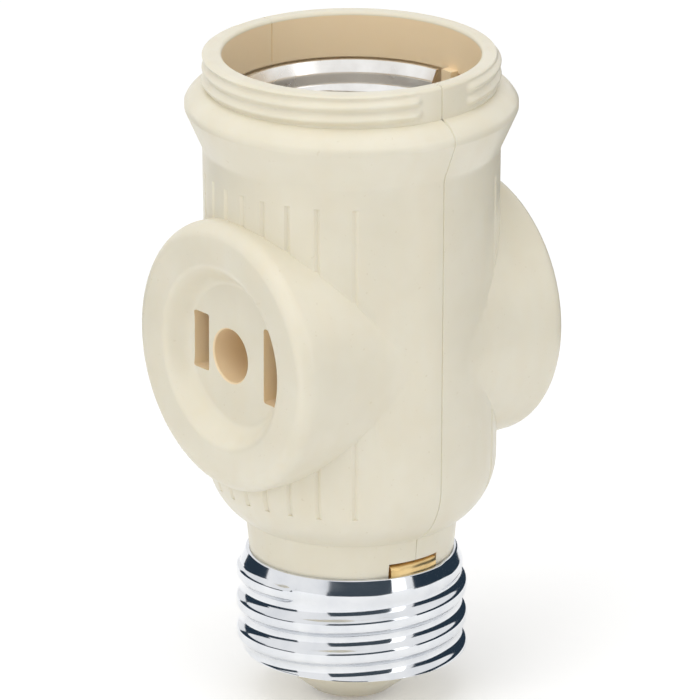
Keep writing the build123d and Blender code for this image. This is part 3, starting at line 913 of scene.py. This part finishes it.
def worked_metal(name, light, dark, shine, dull, line_mm, line_depth, wave_depth, wave_mm=3.0):
    """A metal between two colours and two roughnesses, with working lines round Z and slow waves."""
    material, tree, surface = new_material(name)
    position = add(tree, "TexCoord").outputs["Object"]
    patches = mapped_noise(tree, position, 4, detail=3).outputs["Fac"]
    lines = mapped_noise(tree, position, line_mm, detail=2, stretch=(0.06, 0.06, 1)).outputs["Fac"]
    waves = mapped_noise(tree, position, wave_mm, detail=1, stretch=(0.5, 0.5, 1)).outputs["Fac"]
    patchy = stretch_range(tree, patches, 0.35, 0.68, 0, 1)
    base = blend_colour(tree, patchy, colour(light), colour(dark))
    rough = stretch_range(tree, patches, 0.35, 0.7, shine, dull)
    slow = add(tree, "Bump", Height=waves, Strength=1.0, Distance=wave_depth)
    fine = add(tree, "Bump", Height=lines, Strength=1.0, Distance=line_depth, Normal=slow.outputs["Normal"])
    shader = add(
        tree, "BsdfPrincipled",
        Base_Color=base, Metallic=1.0, Roughness=rough, Normal=fine.outputs["Normal"],
    )
    tree.links.new(shader.outputs["BSDF"], surface.inputs["Surface"])
    return material


# Bright plate: it mirrors the studio, with a faint break of rolling lines round the shell.
nickel = worked_metal(
    "nickel_plate_on_rolled_brass", "#E3E5E8", "#D6D9DE",
    shine=0.07, dull=0.14, line_mm=0.3, line_depth=0.0008 * mm, wave_depth=0.08 * mm,
)
# Drawn sheet: white and a little soft, so the thread inside shows as broad bands.
aluminium = worked_metal(
    "drawn_aluminium", "#F2F1EF", "#E4E2DF",
    shine=0.2, dull=0.3, line_mm=0.25, line_depth=0.001 * mm, wave_depth=0.02 * mm,
)
# Stamped and folded sheet: pale gold and dull, with the short waves that folding leaves.
brass = worked_metal(
    "stamped_brass", "#E8CB93", "#CBA869",
    shine=0.3, dull=0.42, line_mm=0.2, line_depth=0.001 * mm, wave_depth=0.02 * mm, wave_mm=1.6,
)
# Headed wire: deeper gold, a little dented where the punch struck.
headed_brass = worked_metal(
    "headed_brass", "#CFA95F", "#B08A45",
    shine=0.22, dull=0.4, line_mm=0.3, line_depth=0.0008 * mm, wave_depth=0.03 * mm,
)
metal_pieces = {
    "contact_metal": brass,
    "rivet": headed_brass,
}
for piece, metal in ((base_shell, nickel), (lamp_shell, aluminium), (neutral_strip, brass)):
    piece.data.materials.clear()
    piece.data.materials.append(metal)
for subpart in frame["record"]["subparts"]:
    metal = metal_pieces.get(subpart["material_slot"])
    if metal and subpart["node"] != "neutral_strip":
        node = frame["nodes"][subpart["node"]]
        node.data.materials.clear()
        node.data.materials.append(metal)
        shade_smooth(node, 30)
print("metals:", nickel.name, aluminium.name, brass.name, headed_brass.name)

# %% [markdown]
# The picture was taken from the right and a little above, from far off, so the camera has a long lens.
# It looks at the middle of the object from the same direction.

# %% Camera
view_azimuth = radians(52)
view_elevation = radians(19)
view_distance = 1.5
toward_camera = Vector((
    sin(view_azimuth) * cos(view_elevation),
    -cos(view_azimuth) * cos(view_elevation),
    sin(view_elevation),
))
image_width = 700
pixels_per_mm = 8.85
shift_pixels = -1.5
aim = Vector((0, 0, 40.85 * mm))
camera_data = bpy.data.cameras.new("camera")
camera = bpy.data.objects.new("camera", camera_data)
bpy.context.scene.collection.objects.link(camera)
camera_data.sensor_width = 36
frame_width = image_width / pixels_per_mm * mm
camera_data.lens = camera_data.sensor_width * view_distance / frame_width
camera_data.shift_x = shift_pixels / image_width
camera_data.clip_start = 0.05
camera.location = aim + toward_camera * view_distance
camera.rotation_euler = toward_camera.to_track_quat("Z", "Y").to_euler()
bpy.context.scene.camera = camera
print("lens", round(camera_data.lens), "mm")

# %% [markdown]
# The object stands on a pale floor in a soft white studio. The world and the floor look white to the
# camera and to mirrors. As light they would then be too flat and too bright for the ivory, so a node that
# tells the kinds of rays apart gives them a lower level for the rays that light surfaces.

# %% Floor and world
scene = bpy.context.scene
scene.view_settings.view_transform = "Standard"


def seen_directly(tree):
    """1 for rays of the camera, of mirrors and of glass, and 0 for the rays that light surfaces."""
    path = add(tree, "LightPath")
    either = path.outputs["Is Camera Ray"]
    for kind in ("Is Glossy Ray", "Is Transmission Ray"):
        either = add(tree, "Math", {"operation": "MAXIMUM"}, _0=either, _1=path.outputs[kind]).outputs[0]
    return either


world = bpy.data.worlds.new("studio")
scene.world = world
world.use_nodes = True
world.node_tree.nodes.clear()
ambient = 0.585
level = stretch_range(world.node_tree, seen_directly(world.node_tree), 0, 1, ambient, 1.0)
sky = add(world.node_tree, "Background", Color=colour("#FFFFFF"), Strength=level)
world_output = world.node_tree.nodes.new("ShaderNodeOutputWorld")
world.node_tree.links.new(sky.outputs["Background"], world_output.inputs["Surface"])

floor_half = 4.0
floor_corners = [(x * floor_half, y * floor_half, 0) for x, y in ((-1, -1), (1, -1), (1, 1), (-1, 1))]
floor_piece = new_piece("floor", floor_corners, [[0, 1, 2, 3]])
floor_material, floor_tree, floor_output = new_material("pale_floor")
floor_colour = blend_colour(floor_tree, seen_directly(floor_tree), colour("#F8F8F8"), colour("#FFFFFF"))
floor_shader = add(floor_tree, "BsdfDiffuse", Color=floor_colour)
floor_lift = 0.2
lift = stretch_range(floor_tree, seen_directly(floor_tree), 0, 1, 0, floor_lift)
floor_glow = add(floor_tree, "Emission", Color=colour("#FFFFFF"), Strength=lift)
lit_floor = add(floor_tree, "AddShader", _0=floor_shader.outputs[0], _1=floor_glow.outputs[0])
floor_tree.links.new(lit_floor.outputs["Shader"], floor_output.inputs["Surface"])
floor_piece.data.materials.append(floor_material)
print("ambient level", ambient)

# %% [markdown]
# A sun would draw a hard shadow, so the light comes from area lamps, which are soft as a studio's boxes
# are. One hangs high in front, one stands lower to the left of it, and a narrow one lights the right side.
# The two broad ones are hidden from reflections, which keeps their bright squares out of the gloss.

# %% Lamps


def soft_box(name, azimuth, elevation, distance, width, height, level):
    """A rectangular lamp that faces the object from a direction, at this share of a plain light level."""
    data = bpy.data.lights.new(name, "AREA")
    data.shape = "RECTANGLE"
    data.size = width
    data.size_y = height
    data.energy = level * pi * pi * distance**2
    lamp = bpy.data.objects.new(name, data)
    toward = Vector((
        cos(radians(azimuth)) * cos(radians(elevation)),
        sin(radians(azimuth)) * cos(radians(elevation)),
        sin(radians(elevation)),
    ))
    lamp.location = aim + toward * distance
    lamp.rotation_euler = toward.to_track_quat("Z", "Y").to_euler()
    scene.collection.objects.link(lamp)
    return lamp


top_box = soft_box("top_box", -60, 72, distance=0.9, width=0.8, height=0.8, level=0.39)
front_box = soft_box("front_box", -75, 25, distance=1.0, width=0.6, height=0.6, level=0.14)
soft_box("side_strip", 10, 8, distance=0.8, width=0.22, height=0.9, level=0.1)
for lamp in (top_box, front_box):
    lamp.visible_glossy = False
print("hidden from reflections:", top_box.name, front_box.name)

# %% [markdown]
# Bright metal needs something dark to mirror. A photographer stands black cards round it for that, and
# here they are curved screens that glow at a dark shade of their own. Only reflections see them, so they
# neither shade the object nor show beside it.

# %% Dark screens for the metal
screen_distance = 120 * mm
screen_foot = 1 * mm
screen_step = 6


def dark_screen(name, first_azimuth, last_azimuth, height, shade):
    """A curved dark screen just above the floor, between two directions, seen only in reflections."""
    count = max(2, round((last_azimuth - first_azimuth) / screen_step))
    points = []
    for i in range(count + 1):
        azimuth = radians(first_azimuth + (last_azimuth - first_azimuth) * i / count)
        x, y = screen_distance * cos(azimuth), screen_distance * sin(azimuth)
        points += [(x, y, screen_foot), (x, y, height)]
    faces = [[2 * i, 2 * i + 2, 2 * i + 3, 2 * i + 1] for i in range(count)]
    screen = new_piece(name, points, faces)
    material, tree, surface = new_material(name)
    shader = add(tree, "Emission", Color=colour(shade), Strength=1.0)
    tree.links.new(shader.outputs["Emission"], surface.inputs["Surface"])
    screen.data.materials.append(material)
    screen.visible_camera = False
    screen.visible_diffuse = False
    screen.visible_shadow = False
    screen.visible_transmission = False
    return screen


dark_screen("front_screen", -62, 1, 84 * mm, "#465059")
dark_screen("right_screen", 25, 125, 68 * mm, "#2C3A47")
dark_screen("left_screen", -176, -132, 54 * mm, "#2C3A47")
dark_screen("left_low_screen", -132, -94, 34 * mm, "#2A3844")
print("screens stand", round(screen_distance / mm), "mm away")
